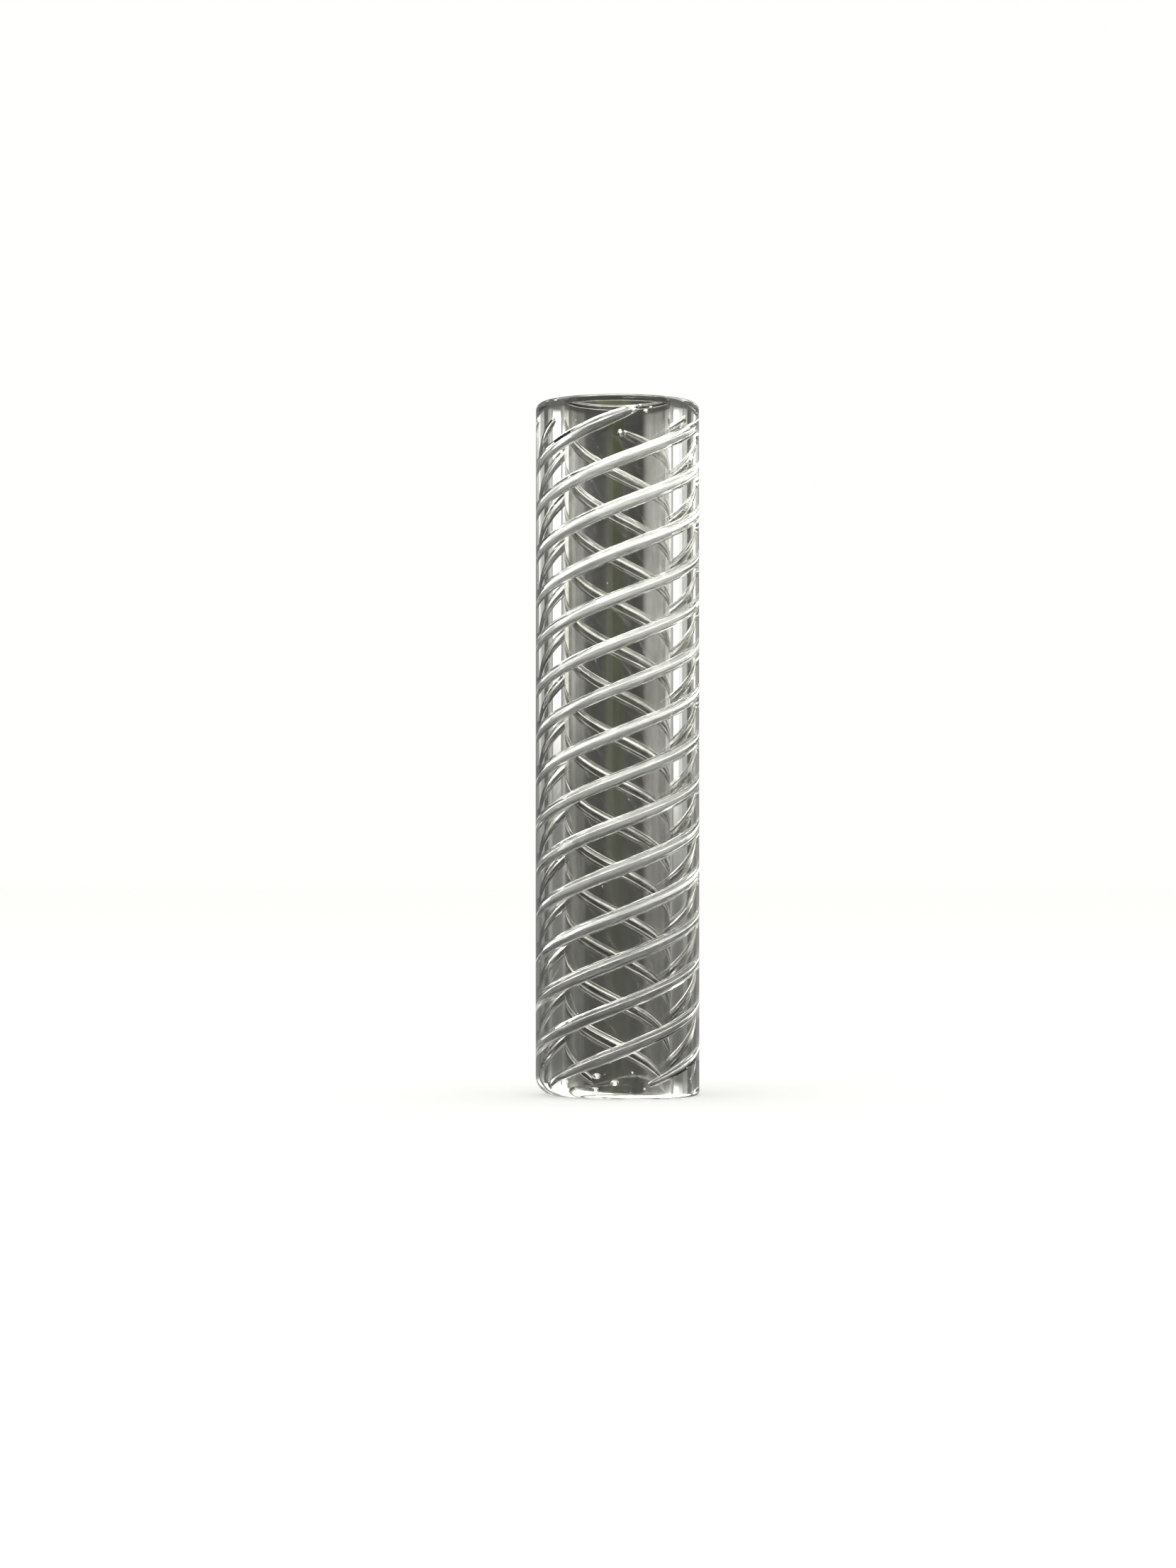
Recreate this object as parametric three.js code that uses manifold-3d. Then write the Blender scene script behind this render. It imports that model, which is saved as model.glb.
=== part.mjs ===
// A short open-ended glass tube with four spiral air-twist threads in its wall, as drawn for the barrel
// of a glass dip pen. Millimetres, +Z up along the tube, origin at the middle of the lower end.
//
// The tube is built the way it is worked at the torch: an inner tube with four spiral grooves round its
// outside, a thin flattened capillary lying in each groove, and a plain casing tube over them all.

import * as THREE from 'three';
import { mergeVertices } from 'three/addons/utils/BufferGeometryUtils.js';
import Module from 'manifold-3d';

const wasm = await Module();
wasm.setup();

// Driving dimensions
const outerRadius = 5;
const tubeLength = 42.3;
const boreRadius = 3.25;
const outerRounding = 0.35;
const boreRounding = 0.3;

const threadCount = 4;
const threadPitch = 10.92;        // rise of one thread in a whole turn, right-handed
const threadPhase = -2;           // degrees from +X of the first thread at z = 0
const threadRadius = 4.2;         // from the tube's axis to the middle of a thread
const threadWidth = 0.76;         // across a thread, square to its run
const threadThickness = 0.6;      // along the tube's radius
const threadWall = 0.07;          // skin of the capillary
const threadEndSetback = 0.6;     // from a thread's end to the tube's end, at least

const grooveClearance = 0.07;     // round a thread, more than the facets sag between steps
const seamRadius = 4.6;           // outside of the inner tube
const seamGap = 0.02;             // between the inner tube and the casing

// Fineness of the facets
const roundSides = 48;
const degreesPerStep = 18;
const roundingSteps = 3;

const radians = Math.PI / 180;
const stepRise = (threadPitch * degreesPerStep) / 360;
const threadSteps = Math.floor((tubeLength - 2 * threadEndSetback) / stepRise);
const leadAngle = Math.atan2(threadPitch, 2 * Math.PI * threadRadius);

// A tube as a lathed ring. Each corner of its section is rounded by its own radius.
function roundedTube(innerRadius, innerRounding, shellRadius, shellRounding) {
  const corners = [
    { x: shellRadius, y: 0, r: shellRounding, dx: -1, dy: 1, start: -90 },
    { x: shellRadius, y: tubeLength, r: shellRounding, dx: -1, dy: -1, start: 0 },
    { x: innerRadius, y: tubeLength, r: innerRounding, dx: 1, dy: -1, start: 90 },
    { x: innerRadius, y: 0, r: innerRounding, dx: 1, dy: 1, start: 180 },
  ];
  const profile = [];
  for (const { x, y, r, dx, dy, start } of corners) {
    const steps = r > 0 ? roundingSteps : 0;
    for (let i = 0; i <= steps; i += 1) {
      const a = (start + (steps ? (90 * i) / steps : 0)) * radians;
      profile.push(new THREE.Vector2(x + dx * r + r * Math.cos(a), y + dy * r + r * Math.sin(a)));
    }
  }
  profile.push(profile[0].clone());
  return new THREE.LatheGeometry(profile, roundSides).rotateX(Math.PI / 2);
}

// A point of a thread's level section: across runs -1 to 1 over the thread's width, bent round the axis,
// and radius is measured from the tube's axis.
function sectionPoint(across, halfWidth, radius) {
  const angle = (across * halfWidth) / Math.sin(leadAngle) / threadRadius;
  return new THREE.Vector2(radius * Math.cos(angle), radius * Math.sin(angle));
}

const acrossSteps = [-1, -0.6, 0.6, 1];

// Lower (side -1) or upper (side 1) half of a flattened oval, from one edge to the other.
function ovalHalf(side, halfWidth, halfThickness) {
  return acrossSteps.map((across) => {
    const rise = side * halfThickness * Math.sqrt(1 - across * across);
    return sectionPoint(across, halfWidth, threadRadius + rise);
  });
}

function ovalPoints(halfWidth, halfThickness) {
  const upper = ovalHalf(1, halfWidth, halfThickness).reverse().slice(1, -1);
  return [...ovalHalf(-1, halfWidth, halfThickness), ...upper];
}

function capillarySection() {
  const shape = new THREE.Shape(ovalPoints(threadWidth / 2, threadThickness / 2));
  const hollow = ovalPoints(threadWidth / 2 - threadWall, threadThickness / 2 - threadWall).reverse();
  shape.holes.push(new THREE.Path(hollow));
  return shape;
}

// The groove has the oval's lower half as its floor and straight sides that pass the inner tube's face.
function grooveSection() {
  const halfWidth = threadWidth / 2 + grooveClearance;
  const floor = ovalHalf(-1, halfWidth, threadThickness / 2 + grooveClearance);
  const mouthRadius = seamRadius + 0.3;
  const mouth = [sectionPoint(1, halfWidth, mouthRadius), sectionPoint(-1, halfWidth, mouthRadius)];
  return new THREE.Shape([...floor, ...mouth]);
}

// A level section carried up the tube and turned about its axis as it rises. Grooves and threads share the
// heights of their steps, so that their facets run side by side.
function twist(section, steps, index) {
  const rise = steps * stepRise;
  const geometry = new THREE.ExtrudeGeometry(section, { depth: rise, steps, bevelEnabled: false });
  geometry.translate(0, 0, (tubeLength - rise) / 2);
  const start = threadPhase * radians + (index * 2 * Math.PI) / threadCount;
  const point = new THREE.Vector3();
  const axis = new THREE.Vector3(0, 0, 1);
  const position = geometry.attributes.position;
  for (let i = 0; i < position.count; i += 1) {
    point.fromBufferAttribute(position, i);
    point.applyAxisAngle(axis, start + (point.z / threadPitch) * 2 * Math.PI);
    position.setXYZ(i, point.x, point.y, point.z);
  }
  return geometry;
}

function weld(geometry) {
  geometry.deleteAttribute('normal');
  geometry.deleteAttribute('uv');
  return mergeVertices(geometry, 1e-4);
}

function toSolid(geometry) {
  const welded = weld(geometry);
  return new wasm.Manifold(new wasm.Mesh({
    numProp: 3,
    vertProperties: new Float32Array(welded.attributes.position.array),
    triVerts: new Uint32Array(welded.index.array),
  }));
}

function toGeometry(solid) {
  const mesh = solid.getMesh();
  const geometry = new THREE.BufferGeometry();
  geometry.setAttribute('position', new THREE.BufferAttribute(mesh.vertProperties, 3));
  geometry.setIndex(new THREE.BufferAttribute(mesh.triVerts, 1));
  return geometry;
}

function innerTube() {
  let solid = toSolid(roundedTube(boreRadius, boreRounding, seamRadius, 0));
  for (let index = 0; index < threadCount; index += 1) {
    solid = solid.subtract(toSolid(twist(grooveSection(), threadSteps + 2, index)));
  }
  return toGeometry(solid);
}

const smokeGlass = { color: 0x8b8c85, roughness: 0.03, metalness: 0, transparent: true, opacity: 0.4 };
const threadGlass = { color: 0xe6e8e2, roughness: 0.25, metalness: 0 };

const group = new THREE.Group();

function addPiece(name, geometry, finish) {
  const piece = new THREE.Mesh(geometry, new THREE.MeshStandardMaterial(finish));
  piece.name = name;
  group.add(piece);
}

addPiece('inner_tube', innerTube(), smokeGlass);
addPiece('outer_casing', weld(roundedTube(seamRadius + seamGap, 0, outerRadius, outerRounding)), smokeGlass);
for (let index = 0; index < threadCount; index += 1) {
  addPiece(`twist_thread_${index + 1}`, weld(twist(capillarySection(), threadSteps, index)), threadGlass);
}

export default group;
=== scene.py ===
"""A short glass tube with four spiral air-twist threads in its wall, the barrel of a glass dip pen.

The wall is one fused piece of glass with four hollow channels in it, greyed with painted shade for the dark
surround seen through it, and each channel is lined by a thin milky skin. Lengths are in metres, and M is a
millimetre.
"""

import math

import bpy
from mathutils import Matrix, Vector

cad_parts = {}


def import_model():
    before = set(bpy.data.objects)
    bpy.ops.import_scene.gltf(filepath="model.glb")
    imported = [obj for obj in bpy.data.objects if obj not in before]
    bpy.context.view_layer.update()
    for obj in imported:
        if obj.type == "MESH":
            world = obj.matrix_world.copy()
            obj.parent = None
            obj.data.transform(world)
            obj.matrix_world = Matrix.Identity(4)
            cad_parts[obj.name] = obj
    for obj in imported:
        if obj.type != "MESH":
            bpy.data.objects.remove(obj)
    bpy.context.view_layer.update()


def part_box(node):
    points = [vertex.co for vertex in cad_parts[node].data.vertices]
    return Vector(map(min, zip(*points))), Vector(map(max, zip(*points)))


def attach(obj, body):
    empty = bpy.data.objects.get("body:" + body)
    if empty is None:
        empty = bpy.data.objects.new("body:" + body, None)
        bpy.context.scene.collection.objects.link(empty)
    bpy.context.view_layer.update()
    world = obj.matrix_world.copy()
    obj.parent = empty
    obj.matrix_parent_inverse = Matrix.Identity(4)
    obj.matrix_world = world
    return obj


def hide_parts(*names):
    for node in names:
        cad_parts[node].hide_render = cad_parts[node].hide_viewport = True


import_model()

M = 0.001
TAU = 2 * math.pi

# The tube, from the frame
casing_low, casing_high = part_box("outer_casing")
RADIUS = (casing_high.x - casing_low.x) / 2
LENGTH = casing_high.z - casing_low.z
thread_low, thread_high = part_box("twist_thread_1")
THREAD_LOW, THREAD_HIGH = thread_low.z, thread_high.z

# The bore and the rims
BORE_RADIUS = 0.65 * RADIUS
TOP_ROUNDING = 0.5 * M
BORE_ROUNDING = 0.15 * M
FOOT_BORE_ROUNDING = 0.12 * M
FOOT_ROUNDING_SOFT = 1.25 * M     # on the side that was held longer in the flame
FOOT_ROUNDING_CRISP = 0.30 * M    # on the opposite side
CRISP_SIDE = math.radians(15)     # the crisp side's angle round the tube from +X

# The twist
THREADS = [f"twist_thread_{i + 1}" for i in range(4)]
PITCH = 10.92 * M
PHASE = math.radians(-2)
THREAD_RADIUS = 4.2 * M           # from the tube's axis to the middle of a thread
CHANNEL_HALF_WIDTH = 0.40 * M
CHANNEL_HALF_DEPTH = 0.30 * M
SKIN_INSET = 0.02 * M             # from the channel's wall to the skin
FLUTES = 0.03                     # depth of the flutes along a channel, as a share of its half width
FLUTE_COUNT = 9
TOP_TAPER = 1.2 * M               # heights over which a thread comes to a point at its two ends
FOOT_TAPER = 2.4 * M
TOP_SHORTFALL = [0, 0.2 * M, 0.65 * M, 0.3 * M]    # how much lower each thread's upper end was pinched off

# Slow waves of hand-drawn glass along a thread: size, rise per radian, and shift from one thread to the next
WANDER_WAVES = [(0.010, 4.1 * M, 1.7), (0.008, 2.3 * M, 2.9)]    # radians round the tube
DEPTH_WAVES = [(0.03 * M, 3.3 * M, 2.1)]                         # towards the tube's outside
SWELL_WAVES = [(0.05, 2.9 * M, 1.3), (0.03, 1.1 * M, 0.7)]       # share of the thread's thickness
OUTSIDE_WAVE = 0.0012             # of the outside, as a share of the radius

# Air bubbles near the worked ends, and a few seeds along the tube: angle in degrees from +X, then height,
# width and length in mm
BUBBLE_RADIUS = 4.7 * M
BUBBLES = [
    (-78, 41.3, 0.42, 0.28), (-73, 41.6, 0.34, 0.18), (-69, 41.25, 0.32, 0.26), (-83, 41.5, 0.26, 0.18),
    (-65, 41.5, 0.24, 0.16), (-88, 39.9, 0.30, 0.50), (-105, 1.40, 0.46, 0.34), (-92, 1.00, 0.48, 0.34),
    (-106, 0.62, 0.36, 0.28), (-95, 2.2, 0.12, 0.12), (-111, 2.35, 0.12, 0.14), (-93, 2.95, 0.10, 0.12),
    (-70, 0.62, 0.20, 0.16), (-120, 5.1, 0.10, 0.14), (-64, 7.4, 0.08, 0.12), (-101, 12.7, 0.08, 0.14),
    (-82, 17.9, 0.08, 0.16), (-40, 9.8, 0.10, 0.14), (-35, 5.4, 0.09, 0.12), (-148, 8.9, 0.10, 0.14),
    (20, 3.1, 0.14, 0.20), (75, 1.2, 0.26, 0.22), (118, 4.6, 0.10, 0.16), (160, 14.2, 0.10, 0.16),
    (52, 22.8, 0.08, 0.16), (100, 31.5, 0.10, 0.18), (140, 41.4, 0.18, 0.16), (15, 38.6, 0.10, 0.16),
]

# Fineness of the meshes
AROUND = 288                      # steps round the tube
OUTSIDE_ROWS = 60                 # steps up the outside
BORE_ROWS = 20                    # steps down the bore
FOOT_CORNER_STEPS = 12
TOP_CORNER_STEPS = 10
BORE_TOP_CORNER_STEPS = 8
BORE_FOOT_CORNER_STEPS = 10
THREAD_SIDES = 32
THREAD_STEP = math.radians(5)     # turn from one ring of a thread to the next
BUBBLE_ROWS, BUBBLE_SIDES = 8, 12


def mesh_object(name, points, faces, places=None):
    """A smooth mesh. Places are each point's place in the texture: across the thread and along it."""
    mesh = bpy.data.meshes.new(name)
    mesh.from_pydata([tuple(p) for p in points], [], faces)
    mesh.polygons.foreach_set("use_smooth", [True] * len(mesh.polygons))
    if places:
        layer = mesh.uv_layers.new(name="along_thread")
        for loop in mesh.loops:
            layer.data[loop.index].uv = places[loop.vertex_index]
    mesh.validate()
    obj = bpy.data.objects.new(name, mesh)
    bpy.context.scene.collection.objects.link(obj)
    return obj


# ---- the twist's path ------------------------------------------------------------------------------------

LEAD = math.atan2(PITCH, TAU * THREAD_RADIUS)


def waves(table, index, z):
    """Sum of a table's slow waves at height z of one thread."""
    return sum(size * math.sin(z / rise + shift * index) for size, rise, shift in table)


def thread_frame(index, z):
    """Middle of a thread at height z, and its directions out of the tube and across the thread."""
    angle = PHASE + index * TAU / len(THREADS) + z / PITCH * TAU + waves(WANDER_WAVES, index, z)
    out = Vector((math.cos(angle), math.sin(angle), 0))
    along = Vector((-math.sin(angle), math.cos(angle), 0))
    across = Vector((0, 0, math.cos(LEAD))) - along * math.sin(LEAD)
    radius = THREAD_RADIUS + waves(DEPTH_WAVES, index, z)
    return out * radius + Vector((0, 0, z)), out, across


def thread_size(index, z):
    """How full the thread is at height z: it swells and thins a little, and comes to a point at its ends."""
    swell = 1 + waves(SWELL_WAVES, index, z)
    end = min((z - THREAD_LOW) / FOOT_TAPER, (THREAD_HIGH - TOP_SHORTFALL[index] - z) / TOP_TAPER)
    return swell * math.sqrt(max(0.0, 1 - (1 - min(1.0, end)) ** 2))


def thread_rings(index, inset):
    """Rings of points on a channel's wall, or inset from it into the channel. Shallow flutes run along it."""
    half_width, half_depth = CHANNEL_HALF_WIDTH - inset, CHANNEL_HALF_DEPTH - inset
    high = THREAD_HIGH - TOP_SHORTFALL[index]
    steps = round((high - THREAD_LOW) / PITCH * TAU / THREAD_STEP)
    rings = []
    for i in range(1, steps):
        z = THREAD_LOW + (high - THREAD_LOW) * i / steps
        middle, out, across = thread_frame(index, z)
        size = thread_size(index, z)
        ring = []
        for k in range(THREAD_SIDES):
            a = TAU * k / THREAD_SIDES
            reach = size * (1 + FLUTES * math.cos(FLUTE_COUNT * a + index))
            offset = across * (half_width * reach * math.cos(a)) + out * (half_depth * reach * math.sin(a))
            ring.append(middle + offset)
        rings.append(ring)
    return rings


def channel_faces(rings, first):
    """Faces of a channel closed at both ends, over rings whose points are numbered from first."""
    sides = THREAD_SIDES
    faces = []
    for i in range(len(rings) - 1):
        low, high = first + i * sides, first + (i + 1) * sides
        for k in range(sides):
            n = (k + 1) % sides
            faces.append((high + k, high + n, low + n, low + k))
    last = first + (len(rings) - 1) * sides
    faces.append(tuple(first + k for k in range(sides)))
    faces.append(tuple(last + k for k in reversed(range(sides))))
    return faces


# ---- the wall --------------------------------------------------------------------------------------------


def corner(x, z, r, start, steps):
    """A quarter circle of radius r round (x, z), from the angle start, as points of the wall's section."""
    points = []
    for i in range(steps + 1):
        a = math.radians(start + 90 * i / steps)
        points.append((x + r * math.cos(a), z + r * math.sin(a)))
    return points


def foot_rounding(angle):
    """Rounding of the lower rim, largest where the glass sagged most in the flame."""
    share = (0.5 - 0.5 * math.cos(angle - CRISP_SIDE)) ** 2
    return FOOT_ROUNDING_CRISP + (FOOT_ROUNDING_SOFT - FOOT_ROUNDING_CRISP) * share


def wall_section(angle):
    """The wall's section at one angle round the tube, and the number of its first point in the bore."""
    foot = foot_rounding(angle)
    section = corner(RADIUS - foot, foot, foot, -90, FOOT_CORNER_STEPS)
    low, high = foot, LENGTH - TOP_ROUNDING
    for i in range(1, OUTSIDE_ROWS):
        section.append((RADIUS, low + (high - low) * i / OUTSIDE_ROWS))
    section += corner(RADIUS - TOP_ROUNDING, high, TOP_ROUNDING, 0, TOP_CORNER_STEPS)
    bore_from = len(section)
    low, high = FOOT_BORE_ROUNDING, LENGTH - BORE_ROUNDING
    section += corner(BORE_RADIUS + BORE_ROUNDING, high, BORE_ROUNDING, 90, BORE_TOP_CORNER_STEPS)
    for i in range(1, BORE_ROWS):
        section.append((BORE_RADIUS, high - (high - low) * i / BORE_ROWS))
    section += corner(BORE_RADIUS + low, low, low, 180, BORE_FOOT_CORNER_STEPS)
    return section, bore_from


def drawn_wave(angle, z):
    """Share of the radius that is left where drawing the glass by hand put slow waves in its outside."""
    wave = math.sin(3 * angle + z / (9 * M)) + math.sin(2 * angle - z / (6 * M) + 1.3)
    return 1 - OUTSIDE_WAVE * (1 + 0.5 * wave)


def bubble(points, angle, z, width, height):
    """Adds the points of a small air bubble in the wall, drawn out upwards, and returns its faces."""
    rows, sides = BUBBLE_ROWS, BUBBLE_SIDES
    middle = Vector((math.cos(angle), math.sin(angle), 0)) * BUBBLE_RADIUS + Vector((0, 0, z))
    first = len(points)
    for i in range(1, rows):
        a = math.pi * i / rows
        for k in range(sides):
            b = TAU * k / sides
            ring = Vector((math.cos(b), math.sin(b), 0)) * (width / 2 * math.sin(a))
            points.append(middle + ring + Vector((0, 0, height / 2 * math.cos(a))))
    points.append(middle + Vector((0, 0, height / 2)))
    points.append(middle - Vector((0, 0, height / 2)))
    top, foot = len(points) - 2, len(points) - 1
    faces = []
    for k in range(sides):
        n = (k + 1) % sides
        faces.append((top, first + n, first + k))
        for i in range(rows - 2):
            upper, lower = first + i * sides, first + (i + 1) * sides
            faces.append((upper + k, upper + n, lower + n, lower + k))
        last = first + (rows - 2) * sides
        faces.append((foot, last + k, last + n))
    return faces


def make_wall():
    """The glass of the whole tube, with the channels and bubbles as closed hollows in it."""
    points, faces = [], []
    for i in range(AROUND):
        angle = TAU * i / AROUND
        section, bore_from = wall_section(angle)
        for k, (r, z) in enumerate(section):
            r *= drawn_wave(angle, z) if k < bore_from else 1
            points.append((r * math.cos(angle), r * math.sin(angle), z))
    count = len(section)
    for i in range(AROUND):
        here, there = i * count, ((i + 1) % AROUND) * count
        for k in range(count):
            n = (k + 1) % count
            faces.append((here + k, there + k, there + n, here + n))
    for index in range(len(THREADS)):
        rings = thread_rings(index, 0)
        faces += channel_faces(rings, len(points))
        for ring in rings:
            points.extend(ring)
    for angle, z, width, height in BUBBLES:
        faces += bubble(points, math.radians(angle), z * M, width * M, height * M)
    return mesh_object("fused_glass_wall", points, faces)


def make_skin(index):
    """The milky skin on the outer half of a channel, an open strip that follows the channel's wall."""
    rings = thread_rings(index, SKIN_INSET)
    half = THREAD_SIDES // 2 + 1
    points, places, faces = [], [], []
    for i, ring in enumerate(rings):
        points.extend(ring[:half])
        places.extend((k / (half - 1), i / (len(rings) - 1)) for k in range(half))
    for i in range(len(rings) - 1):
        low, high = i * half, (i + 1) * half
        for k in range(half - 1):
            faces.append((low + k, low + k + 1, high + k + 1, high + k))
    return mesh_object(f"air_twist_skin_{index + 1}", points, faces, places)


# ---- materials -------------------------------------------------------------------------------------------

IOR = 1.47
OUTSIDE_TINT = (0.90, 0.90, 0.88)
BORE_SHADE_DARKEST = (0.375, 0.375, 0.335)  # painted shade on the bore's face, where it is darkest
BORE_SHADE_LIGHTEST = (0.69, 0.69, 0.675)   # and where it is lightest
# The absorption greys all that is seen through the glass, part of the same painted shade
ABSORPTION = 185.0                # per metre, before the colour's share
ABSORPTION_COLOUR = (0.30, 0.305, 0.25, 1)
BORE_SHADE_TOP_DEPTH = 5 * M                 # depth under the upper rim from which the bore darkens, painted shade
OUTSIDE_FROM = THREAD_RADIUS + CHANNEL_HALF_DEPTH + 0.1 * M    # faces farther out than this are the outside

# Painted shade: the skin's colours darken from the top of the tube towards its foot
SKIN_DARK_SHADED_FOOT = (0.03, 0.03, 0.027)
SKIN_DARK_TOP = (0.36, 0.365, 0.35)
SKIN_WHITE_SHADED_FOOT = (0.12, 0.12, 0.115)
SKIN_WHITE_TOP = (0.45, 0.46, 0.44)
SKIN_END = (0.10, 0.10, 0.095)
SKIN_ROUGHNESS = 0.35
SKIN_SHADE_LIFTS = (0.1, 0.75)        # shares of a thread's run between which its skin goes from dark to white, as the painted shade at the foot fades out
SKIN_DULLS = (0.95, 0.975)        # and from white to dull

# How much of what lies behind the skin it hides. Widths are shares of the strip, from its middle.
# Painted light: the fuller cover at the tube's front, most at its top, stands in for the lit outer faces of
# the front threads
COVER_MIDDLE = (1, 0.8)           # at the foot and at the top
COVER_EDGE = (0.08, 0.88)         # at the foot and all down the tube's back, and at the top of its front
COVER_FULL_WIDTH = (0.14, 0.34)   # where the cover starts to thin, at the tube's back and front
COVER_THIN_WIDTH = 0.45           # where it is down to the edge's
COVER_END = 0.9                   # where a thread was pinched off


def new_material(name):
    material = bpy.data.materials.new(name)
    material.use_nodes = True
    return material, material.node_tree, material.node_tree.nodes["Principled BSDF"]


def math_node(tree, operation, *values):
    node = tree.nodes.new("ShaderNodeMath")
    node.operation = operation
    for socket, value in zip(node.inputs, values):
        if isinstance(value, bpy.types.NodeSocket):
            tree.links.new(value, socket)
        else:
            socket.default_value = value
    return node.outputs[0]


def map_node(tree, value, low, high, to_low, to_high):
    """Carries a value from one range to another, and holds it at their ends."""
    node = tree.nodes.new("ShaderNodeMapRange")
    for socket, number in zip(node.inputs[1:5], (low, high, to_low, to_high)):
        if isinstance(number, bpy.types.NodeSocket):
            tree.links.new(number, socket)
        else:
            socket.default_value = number
    tree.links.new(value, node.inputs[0])
    return node.outputs[0]


def coordinates(tree, kind):
    return tree.nodes.new("ShaderNodeTexCoord").outputs[kind]


def split(tree, vector):
    """The three numbers of a vector."""
    node = tree.nodes.new("ShaderNodeSeparateXYZ")
    tree.links.new(vector, node.inputs[0])
    return node.outputs


def streaks(tree, places, stretch, scale, detail):
    """Noise drawn out along one direction."""
    spread = tree.nodes.new("ShaderNodeVectorMath")
    spread.operation = "MULTIPLY"
    spread.inputs[1].default_value = stretch
    tree.links.new(places, spread.inputs[0])
    noise = tree.nodes.new("ShaderNodeTexNoise")
    noise.inputs["Scale"].default_value = scale
    noise.inputs["Detail"].default_value = detail
    tree.links.new(spread.outputs[0], noise.inputs["Vector"])
    return noise.outputs[0]


def mix_colour(tree, share, first, second):
    node = tree.nodes.new("ShaderNodeMix")
    node.data_type = "RGBA"
    tree.links.new(share, node.inputs["Factor"])
    for socket, colour in zip((node.inputs[6], node.inputs[7]), (first, second)):
        if isinstance(colour, bpy.types.NodeSocket):
            tree.links.new(colour, socket)
        else:
            socket.default_value = (*colour, 1)
    return node.outputs[2]


def glass_with_painted_shade():
    """Glass greyed with painted shade for the dark surround seen through it. The bore's face is the darkest,
    with streaks drawn out along the tube.
    """
    material, tree, shader = new_material("glass_with_painted_shade")
    place = coordinates(tree, "Object")
    x, y, z = split(tree, place)
    squared = math_node(tree, "ADD", math_node(tree, "MULTIPLY", x, x), math_node(tree, "MULTIPLY", y, y))
    radius = math_node(tree, "SQRT", squared)
    clear = map_node(tree, streaks(tree, place, (1, 1, 0.06), 1100, 3), 0.35, 0.65, 0, 1)
    cloud = map_node(tree, streaks(tree, place, (1, 1, 0.5), 500, 4), 0.35, 0.65, -0.6, 0.6)
    clear = math_node(tree, "ADD", clear, cloud)
    # Painted shade: the bore darkens under the upper rim
    clear = math_node(tree, "ADD", clear, map_node(tree, z, LENGTH - BORE_SHADE_TOP_DEPTH, LENGTH - M, 0, -0.5))
    bore_colour = mix_colour(tree, clear, BORE_SHADE_DARKEST, BORE_SHADE_LIGHTEST)
    in_wall = math_node(tree, "GREATER_THAN", radius, BORE_RADIUS + BORE_ROUNDING / 2)
    outside = math_node(tree, "GREATER_THAN", radius, OUTSIDE_FROM)
    colour = mix_colour(tree, in_wall, bore_colour, (1, 1, 1))
    colour = mix_colour(tree, outside, colour, OUTSIDE_TINT)
    tree.links.new(colour, shader.inputs["Base Color"])
    shader.inputs["Roughness"].default_value = 0
    shader.inputs["IOR"].default_value = IOR
    shader.inputs["Transmission Weight"].default_value = 1
    absorb = tree.nodes.new("ShaderNodeVolumeAbsorption")
    absorb.inputs["Color"].default_value = ABSORPTION_COLOUR
    absorb.inputs["Density"].default_value = ABSORPTION
    tree.links.new(absorb.outputs[0], tree.nodes["Material Output"].inputs["Volume"])
    return material


def milky_skin():
    """Milky streaks, thickest along the middle of a thread. They hide more at the tube's front, painted light
    that stands in for the lit outer faces of the front threads.

    The skin is white near the top of the tube and dark at its foot, painted shade that darkens the threads
    towards the foot, and it is dull where a thread was pinched off.
    """
    material, tree, shader = new_material("milky_thread_skin")
    places = coordinates(tree, "UV")
    across, along, _ = split(tree, places)
    height = map_node(tree, along, *SKIN_SHADE_LIFTS, 0, 1)
    # Painted light: the skin hides more towards the tube's front, for the lit outer faces of the front
    # threads
    front = map_node(tree, split(tree, coordinates(tree, "Object"))["Y"], 0, -RADIUS / 2, 0, 1)

    # Painted shade: both colours darken towards the foot
    white = mix_colour(tree, height, SKIN_WHITE_SHADED_FOOT, SKIN_WHITE_TOP)
    dark = mix_colour(tree, height, SKIN_DARK_SHADED_FOOT, SKIN_DARK_TOP)
    fine = map_node(tree, streaks(tree, places, (1, 4, 1), 9, 3), 0.3, 0.7, 0, 1)
    colour = mix_colour(tree, fine, dark, white)
    end = map_node(tree, along, *SKIN_DULLS, 0, 1)
    tree.links.new(mix_colour(tree, end, colour, SKIN_END), shader.inputs["Base Color"])
    shader.inputs["Roughness"].default_value = SKIN_ROUGHNESS

    off_middle = math_node(tree, "ABSOLUTE", math_node(tree, "SUBTRACT", across, 0.5))
    edge = map_node(tree, math_node(tree, "MULTIPLY", height, front), 0, 1, *COVER_EDGE)
    middle = map_node(tree, height, 0, 1, *COVER_MIDDLE)
    full_width = map_node(tree, front, 0, 1, *COVER_FULL_WIDTH)
    cover = map_node(tree, off_middle, full_width, COVER_THIN_WIDTH, middle, edge)
    broad = map_node(tree, streaks(tree, places, (1, 2.5, 1), 6, 2), 0.35, 0.65, 0.8, 1.2)
    cover = math_node(tree, "MULTIPLY", cover, broad)
    cover = math_node(tree, "MAXIMUM", cover, math_node(tree, "MULTIPLY", end, COVER_END))
    tree.links.new(math_node(tree, "MINIMUM", cover, 1), shader.inputs["Alpha"])
    return material


wall = make_wall()
wall.data.materials.append(glass_with_painted_shade())
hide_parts("inner_tube", "outer_casing")
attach(wall, "root")

skin_material = milky_skin()
for index, node in enumerate(THREADS):
    skin = make_skin(index)
    skin.data.materials.append(skin_material)
    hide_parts(node)
    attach(skin, "root")


# ---- the studio ------------------------------------------------------------------------------------------

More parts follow.
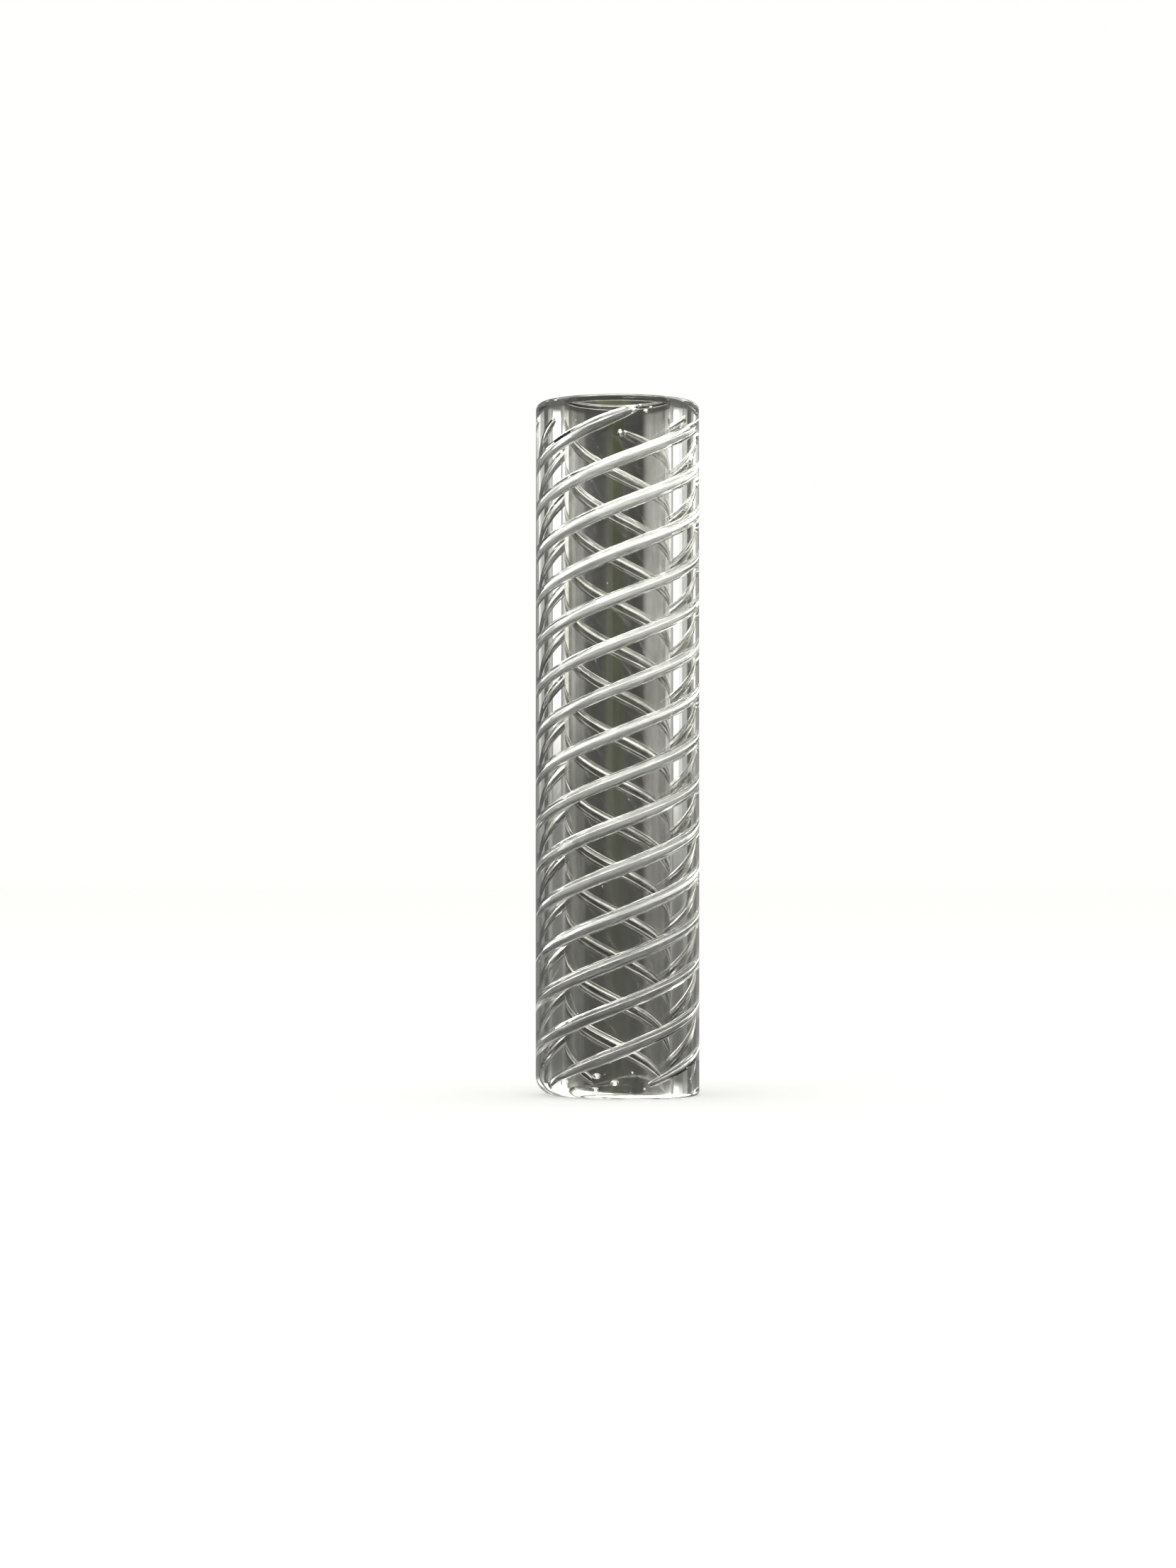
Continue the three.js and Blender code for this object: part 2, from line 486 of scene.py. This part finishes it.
FLOOR_HALF = 3.0
PALE = (1.0, 1.0, 0.985)          # radiance of the surround
MIRRORED = (0.45, 0.45, 0.45)     # radiance of what the outside of the glass mirrors

# Radiance of the tent below and above, by elevation in degrees
BELOW_STOPS = [
    (-90, 0.4, 0.4, 0.4),
    (-43, 0.5, 0.5, 0.5),
    (-36, 4.5, 4.5, 4.5),
    (-29, 4.5, 4.5, 4.5),
    (-22, 0, 0, 0),
]
ABOVE_STOPS = [
    (10, 0, 0, 0),
    (17, 8.5, 8.5, 8.4),
    (25, 8.5, 8.5, 8.4),
    (34, 1.0, 1.0, 1.0),
    (90, 0.7, 0.7, 0.7),
]
BELOW_HEADINGS = (20, 28)         # how far round the lower band stays bright, and where it has faded
BELOW_FADED = 0.12                # share of it that is left there

# Radiance of the tent's wall, by heading over a quarter turn
PANEL_STOPS = [
    (-45, 0.5, 0.5, 0.5),
    (-32, 0.6, 0.6, 0.6),
    (-22, 1.35, 1.35, 1.35),
    (-13, 0.85, 0.85, 0.87),
    (-10, 0.25, 0.25, 0.27),
    (-3.5, 0.17, 0.17, 0.17),
    (-2.5, 0.27, 0.29, 0.18),
    (1, 0.22, 0.24, 0.15),
    (2.5, 0.12, 0.12, 0.12),
    (7, 0.14, 0.14, 0.13),
    (10, 1.2, 1.2, 1.2),
    (22, 1.35, 1.35, 1.35),
    (32, 0.6, 0.6, 0.6),
    (45, 0.5, 0.5, 0.5),
]
PANEL_BELOW = (0.19, 0.19, 0.18)  # what the panels fade to under the horizon
PANEL_FADE = (-4, 5)              # elevations between which they do
PANEL_LEFT = 0.05                 # share of them that is left there

# Heading, half width, lowest and highest elevation in degrees, and radiance. Heading 0 is behind the tube as
# the camera sees it, and 90 to its right.
WINDOWS = [
    (-44, 13, 2.4, 80, 4.5),
    (50, 8, 2.0, 80, 2.7),
    (44, 15, 1, 14, 1.4),
    (180, 60, 35, 85, 4.0),
    (-82, 20, 6, 80, 3.0),
    (84, 18, 6, 80, 3.0),
    (-135, 35, 16, 60, 11.0),
    (128, 28, 16, 60, 9.0),
]
WINDOW_BLUR = 1.5                 # half the width of a window's soft edge, in degrees
WINDOW_TOP_BLUR = 2

# The camera stands level with a point about a third of the way up the tube
CAMERA_PLACE = Vector((0, -46.6 * RADIUS, 13.6 * M))
CAMERA_AIM = Vector((-1.8 * M, 0, 18.97 * M))
CAMERA_LENS = 87.6
CAMERA_SENSOR = 36
CAMERA_CLIP = (0.005, 20)


def floor():
    half = FLOOR_HALF
    corners = [(-half, -half, 0), (half, -half, 0), (half, half, 0), (-half, half, 0)]
    plane = mesh_object("studio_floor", corners, [(0, 1, 2, 3)])
    plane.visible_transmission = False
    plane.visible_glossy = False
    material, _, shader = new_material("pale_floor")
    shader.inputs["Base Color"].default_value = (0.99, 0.99, 0.98, 1)
    shader.inputs["Roughness"].default_value = 0.9
    shader.inputs["Specular IOR Level"].default_value = 0
    plane.data.materials.append(material)


def softbox(name, azimuth, elevation, distance, size, radiance):
    """A panel of light aimed at the middle of the tube. Azimuth runs as the windows' headings do."""
    light = bpy.data.lights.new(name, "AREA")
    light.shape = "RECTANGLE"
    light.size, light.size_y = size
    light.energy = radiance * math.pi * size[0] * size[1]
    lamp = bpy.data.objects.new(name, light)
    bpy.context.scene.collection.objects.link(lamp)
    a, e = math.radians(azimuth), math.radians(elevation)
    direction = Vector((math.sin(a) * math.cos(e), math.cos(a) * math.cos(e), math.sin(e)))
    lamp.location = Vector((0, 0, LENGTH / 2)) + direction * distance
    lamp.rotation_mode = "QUATERNION"
    lamp.rotation_quaternion = (-direction).to_track_quat("-Z", "Y")
    lamp.visible_camera = False
    lamp.visible_transmission = False
    lamp.visible_glossy = False


def world():
    """Pale all round, but the glass is lit as in a dark tent.

    What it refracts is dark near the horizon and bright above and below, with tall windows round it, and what
    it mirrors is an even dark grey.
    """
    scene = bpy.context.scene
    scene.world = bpy.data.worlds.new("studio")
    scene.world.use_nodes = True
    tree = scene.world.node_tree

    def node(operation, *values):
        return math_node(tree, operation, *values)

    def add(first, second):
        both = tree.nodes.new("ShaderNodeVectorMath")
        tree.links.new(first, both.inputs[0])
        tree.links.new(second, both.inputs[1])
        return both.outputs[0]

    def ramp(value, low, high, stops):
        """A smooth curve of radiance over a value, from stops of (value, red, green, blue)."""
        curve = tree.nodes.new("ShaderNodeValToRGB")
        curve.color_ramp.interpolation = "EASE"
        tree.links.new(map_node(tree, value, low, high, 0, 1), curve.inputs[0])
        elements = curve.color_ramp.elements
        while len(elements) < len(stops):
            elements.new(0.5)
        for element, (stop, *radiance) in zip(elements, stops):
            element.position = (stop - low) / (high - low)
            element.color = (*radiance, 1)
        return curve.outputs["Color"]

    def window(azimuth, half, lowest, highest, radiance):
        """An upright strip of light between two elevations, with soft edges."""
        off = node("ABSOLUTE", node("WRAP", node("SUBTRACT", heading, azimuth), 180, -180))
        across = map_node(tree, off, half - WINDOW_BLUR, half + WINDOW_BLUR, radiance, 0)
        low = map_node(tree, elevation, lowest - WINDOW_BLUR, lowest + WINDOW_BLUR, 0, 1)
        high = map_node(tree, elevation, highest - WINDOW_TOP_BLUR, highest + WINDOW_TOP_BLUR, 1, 0)
        return node("MULTIPLY", across, node("MULTIPLY", low, high))

    x, y, z = split(tree, coordinates(tree, "Generated"))
    elevation = node("MULTIPLY", node("ARCSINE", z), 180 / math.pi)
    heading = node("MULTIPLY", node("ARCTAN2", x, y), 180 / math.pi)
    behind = map_node(tree, node("ABSOLUTE", heading), *BELOW_HEADINGS, 1, BELOW_FADED)
    below = mix_colour(tree, behind, (0, 0, 0), ramp(elevation, -90, 0, BELOW_STOPS))
    tent = add(below, ramp(elevation, 0, 90, ABOVE_STOPS))
    panels = ramp(node("WRAP", heading, 45, -45), -45, 45, PANEL_STOPS)
    clear = map_node(tree, elevation, *PANEL_FADE, PANEL_LEFT, 1)
    tent = add(tent, mix_colour(tree, clear, PANEL_BELOW, panels))
    for strip in WINDOWS:
        tent = add(tent, window(*strip))
    path = tree.nodes.new("ShaderNodeLightPath")
    mirrored = mix_colour(tree, path.outputs["Is Glossy Ray"], PALE, MIRRORED)
    seen = mix_colour(tree, path.outputs["Is Transmission Ray"], mirrored, tent)
    tree.links.new(seen, tree.nodes["Background"].inputs["Color"])


def camera():
    data = bpy.data.cameras.new("camera")
    data.lens = CAMERA_LENS
    data.sensor_width = CAMERA_SENSOR
    data.clip_start, data.clip_end = CAMERA_CLIP
    cam = bpy.data.objects.new("camera", data)
    bpy.context.scene.collection.objects.link(cam)
    cam.location = CAMERA_PLACE
    cam.rotation_mode = "QUATERNION"
    cam.rotation_quaternion = (CAMERA_AIM - CAMERA_PLACE).to_track_quat("-Z", "Y")
    bpy.context.scene.camera = cam


floor()
world()
softbox("overhead_box", azimuth=200, elevation=60, distance=0.6, size=(0.6, 0.4), radiance=0.5)
camera()

scene = bpy.context.scene
scene.view_settings.view_transform = "Standard"
scene.cycles.max_bounces = 32
scene.cycles.transmission_bounces = 32
scene.cycles.glossy_bounces = 24
scene.cycles.transparent_max_bounces = 32
scene.cycles.caustics_refractive = True
scene.cycles.caustics_reflective = True
